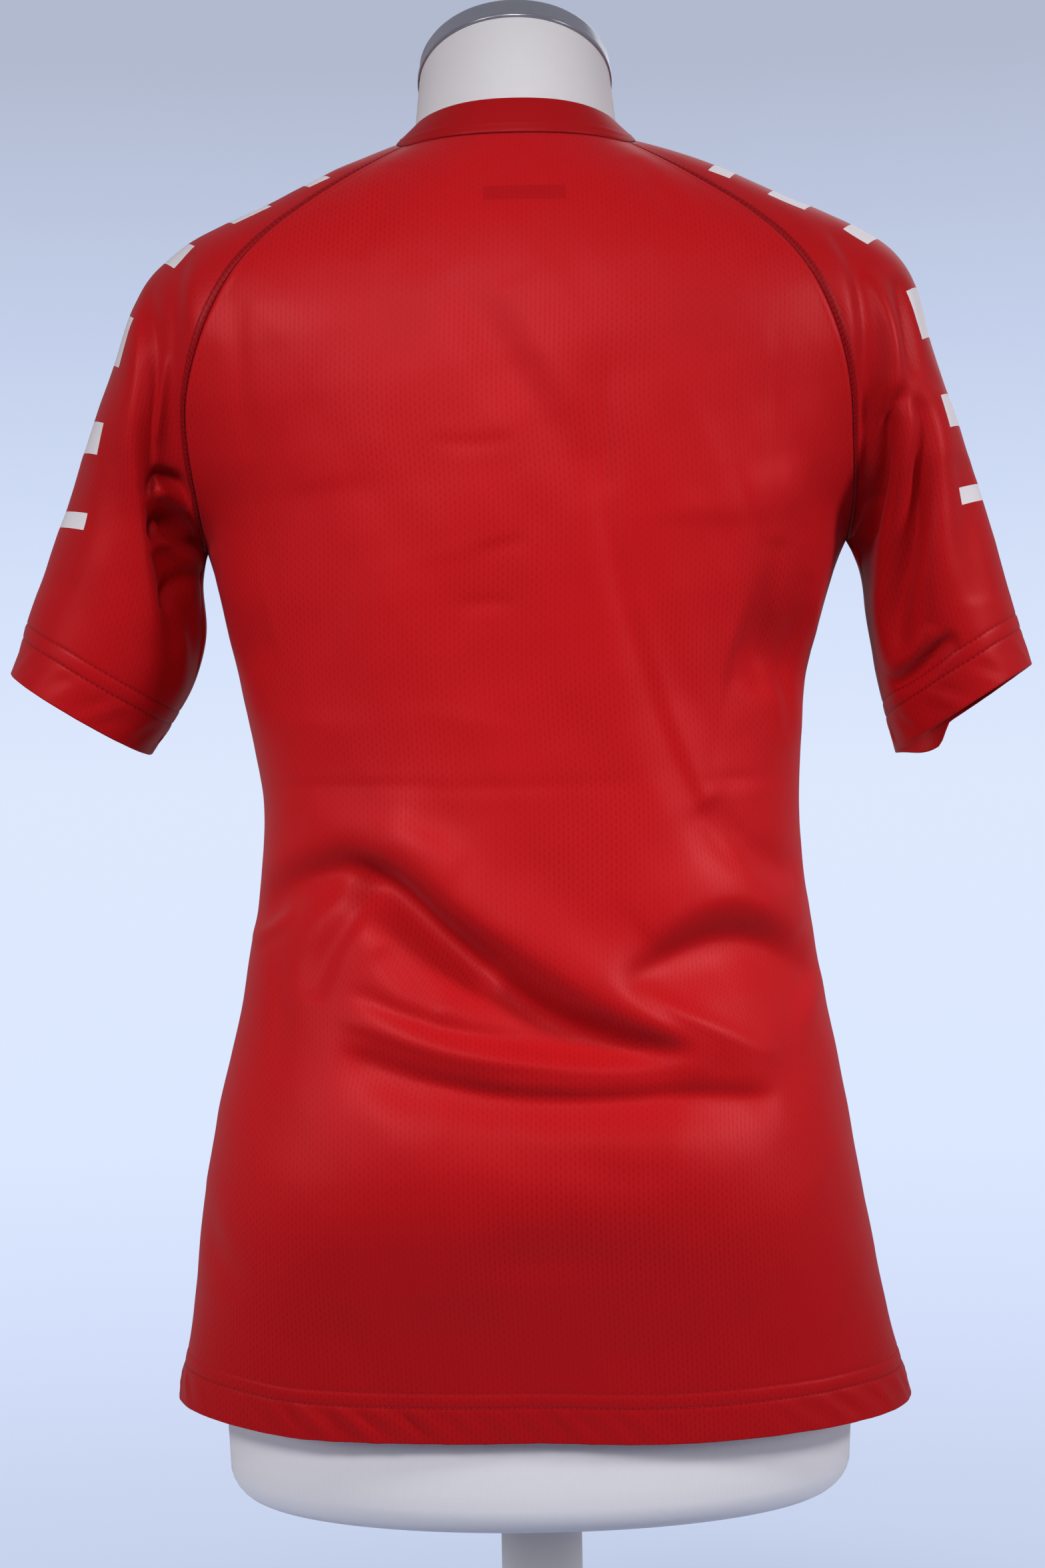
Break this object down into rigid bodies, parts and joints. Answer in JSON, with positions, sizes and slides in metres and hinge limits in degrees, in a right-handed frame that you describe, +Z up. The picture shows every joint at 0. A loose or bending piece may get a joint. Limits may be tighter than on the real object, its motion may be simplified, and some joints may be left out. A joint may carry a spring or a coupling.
{
  "type": "football jersey on a dress form",
  "caption": "Short-sleeved raglan football jersey with a folded crew neckband, worn by a limbless dress form on a pole stand.",
  "frame": {"origin": "on the floor at the middle of the round base plate, on the pole's axis", "axes": "+Z up, +Y the way the wearer faces, +X the wearer's right"},
  "size_m": [0.555, 0.3, 0.9921],
  "materials": {
    "jersey_knit": "glossy fine red polyester knit",
    "sleeve_knit": "glossy fine red polyester knit with plain white bars",
    "neckband_knit": "folded red self fabric",
    "form_cover": "smooth white stretch cover",
    "cap_metal": "polished",
    "pole_enamel": "satin grey white enamel",
    "base_metal": "satin grey white enamel"
  },
  "bodies": {
    "root": {"back_panel": "jersey_knit", "front_panel": "jersey_knit", "sleeve_left": "sleeve_knit", "sleeve_right": "sleeve_knit", "neckband": "neckband_knit", "form_body": "form_cover", "neck_cap": "cap_metal", "stand_pole": "pole_enamel", "pole_flange": "base_metal", "base_plate": "base_metal"}
  },
  "joints": []
}
